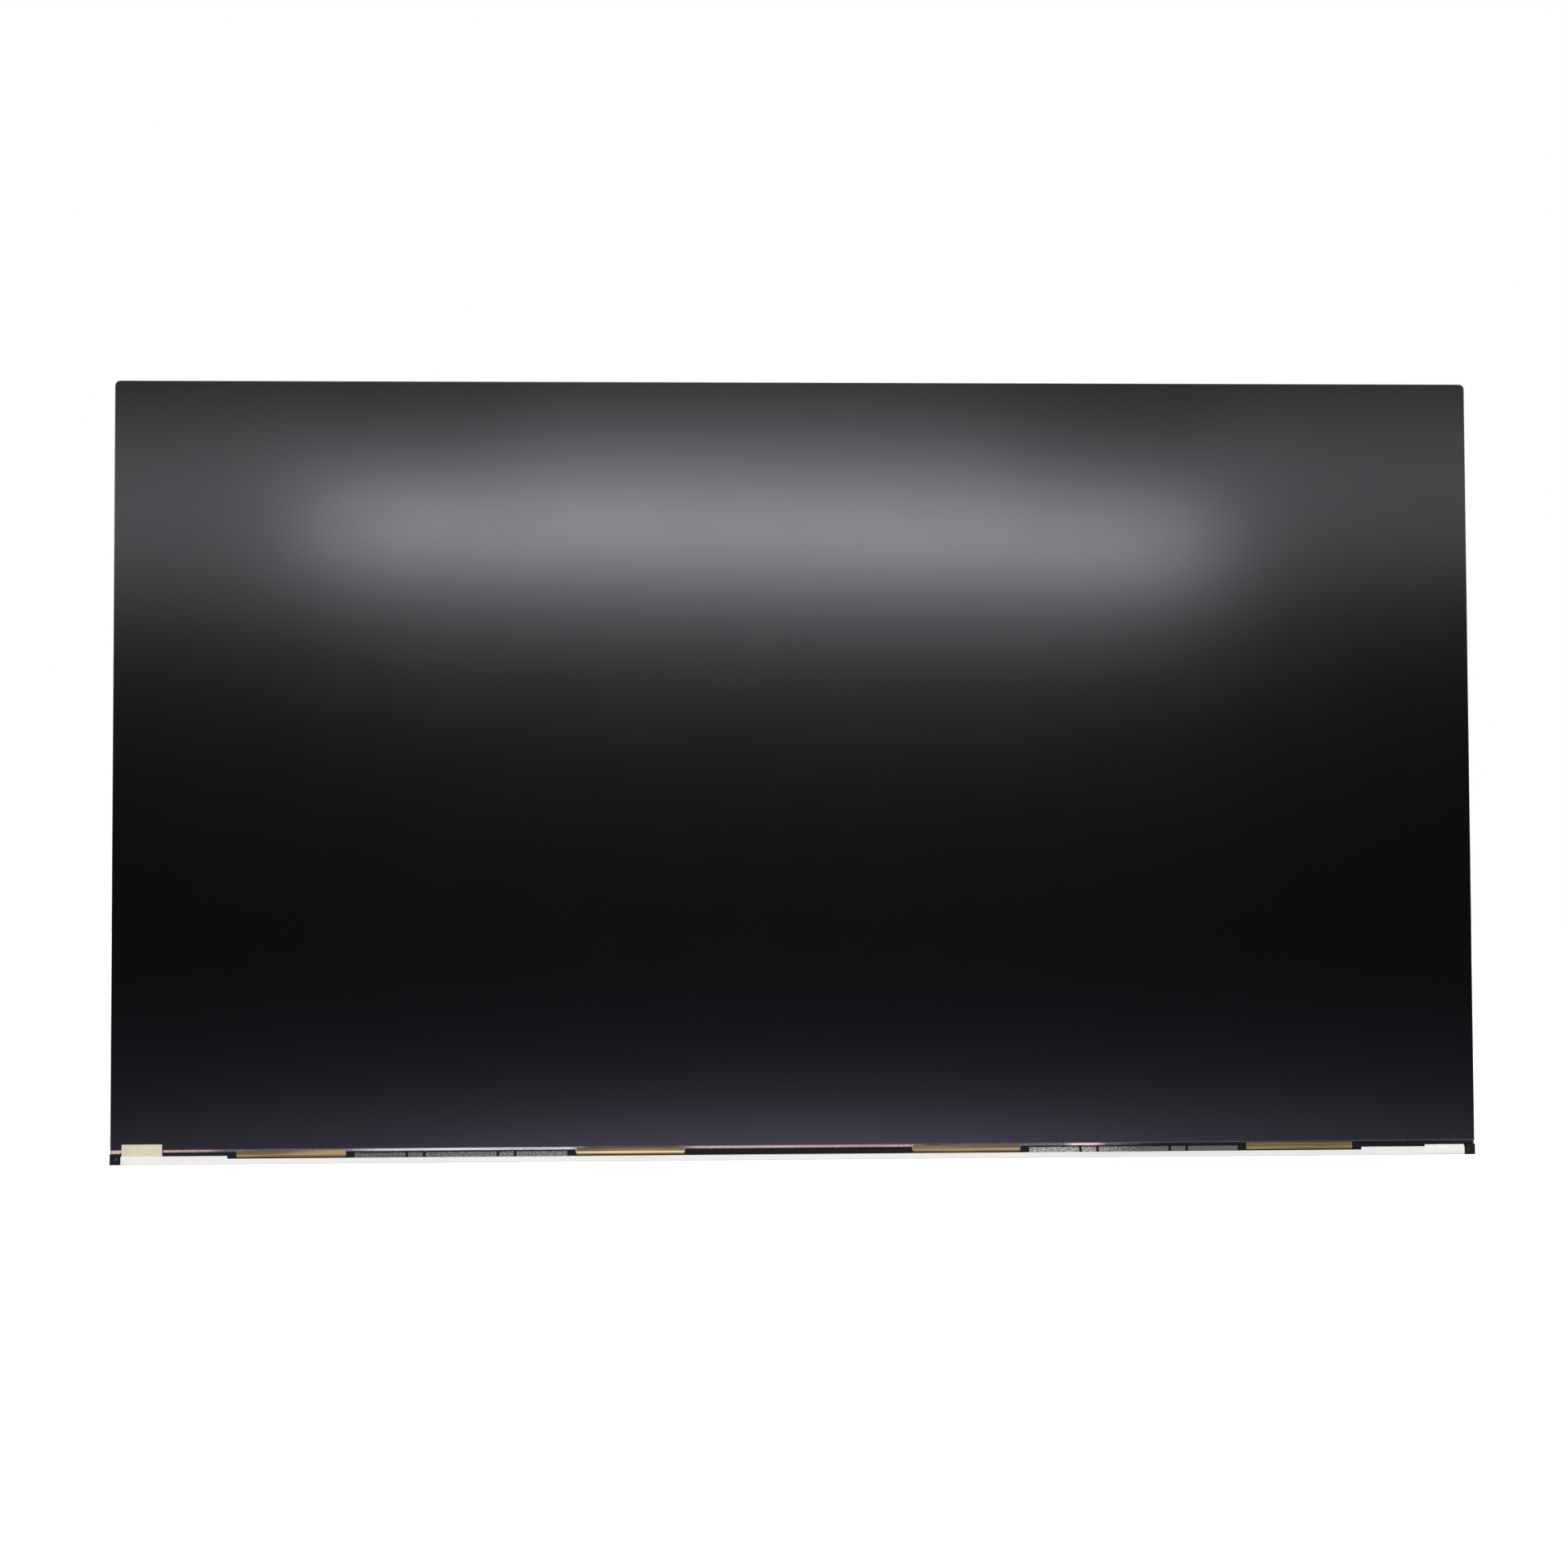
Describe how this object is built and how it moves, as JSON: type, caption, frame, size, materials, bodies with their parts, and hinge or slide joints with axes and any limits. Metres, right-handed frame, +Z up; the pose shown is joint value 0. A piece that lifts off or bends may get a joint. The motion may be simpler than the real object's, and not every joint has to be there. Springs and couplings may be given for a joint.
{
  "type": "lcd panel",
  "caption": "Frameless widescreen LCD module: matte screen, glass ledge with golden driver films above a black rail and pale cover strip, pressed steel back.",
  "frame": {"origin": "middle of the four rear fixing holes, in the plane of their raised pads", "axes": "+X along the screen to the right as seen from the front, +Y out of the back, +Z up; the screen faces -Y"},
  "size_m": [0.5346, 0.012, 0.3062],
  "materials": {
    "screen_film": "fine anti-glare film, near black",
    "panel_glass": "thin clear glass, green at the edge",
    "rear_film": "dark polariser film",
    "foam_tape": "black foam",
    "black_plastic": "moulded, fine matte",
    "optical_film": "milky film",
    "clear_acrylic": "clear, polished edges",
    "white_film": "white reflector film",
    "silicone": "soft white",
    "lamp_white": "white lamp body with yellow window",
    "white_board": "white solder mask",
    "heat_tape": "grey tape",
    "golden_film": "amber film with fine copper lines",
    "chip_black": "moulded black",
    "galvanised_steel": "zinc-coated sheet",
    "white_sheet": "pale satin coat",
    "screw_steel": "bright zinc",
    "insulating_film": "black film",
    "green_board": "green solder mask",
    "coil_grey": "pressed ferrite",
    "capacitor_tan": "tan ceramic with tin ends",
    "connector_cream": "cream nylon",
    "tan_tape": "tan crepe tape",
    "cream_tape": "cream tape"
  },
  "bodies": {
    "root": {"front_polarizer": "screen_film", "color_filter_glass": "panel_glass", "array_glass": "panel_glass", "rear_polarizer": "rear_film", "cell_tape": "foam_tape", "middle_frame": "black_plastic", "bottom_rail": "black_plastic", "diffuser_sheet": "optical_film", "lower_prism_sheet": "optical_film", "upper_prism_sheet": "optical_film", "light_guide": "clear_acrylic", "reflector_sheet": "white_film", "guide_stoppers": "silicone", "lamp_packages": "lamp_white", "lamp_board": "white_board", "lamp_tape": "heat_tape", "source_film_1": "golden_film", "source_film_2": "golden_film", "source_film_3": "golden_film", "source_film_4": "golden_film", "lamp_tail": "golden_film", "driver_chip_1": "chip_black", "driver_chip_2": "chip_black", "driver_chip_3": "chip_black", "driver_chip_4": "chip_black", "timing_chip": "chip_black", "power_chip": "chip_black", "rear_chassis": "galvanised_steel", "bottom_cover": "white_sheet", "cover_screws": "screw_steel", "board_insulator": "insulating_film", "source_board": "green_board", "power_coil": "coil_grey", "board_capacitors": "capacitor_tan", "signal_connector": "connector_cream", "lamp_connector": "connector_cream", "left_ledge_tape": "tan_tape", "right_ledge_tape": "cream_tape"}
  },
  "joints": []
}
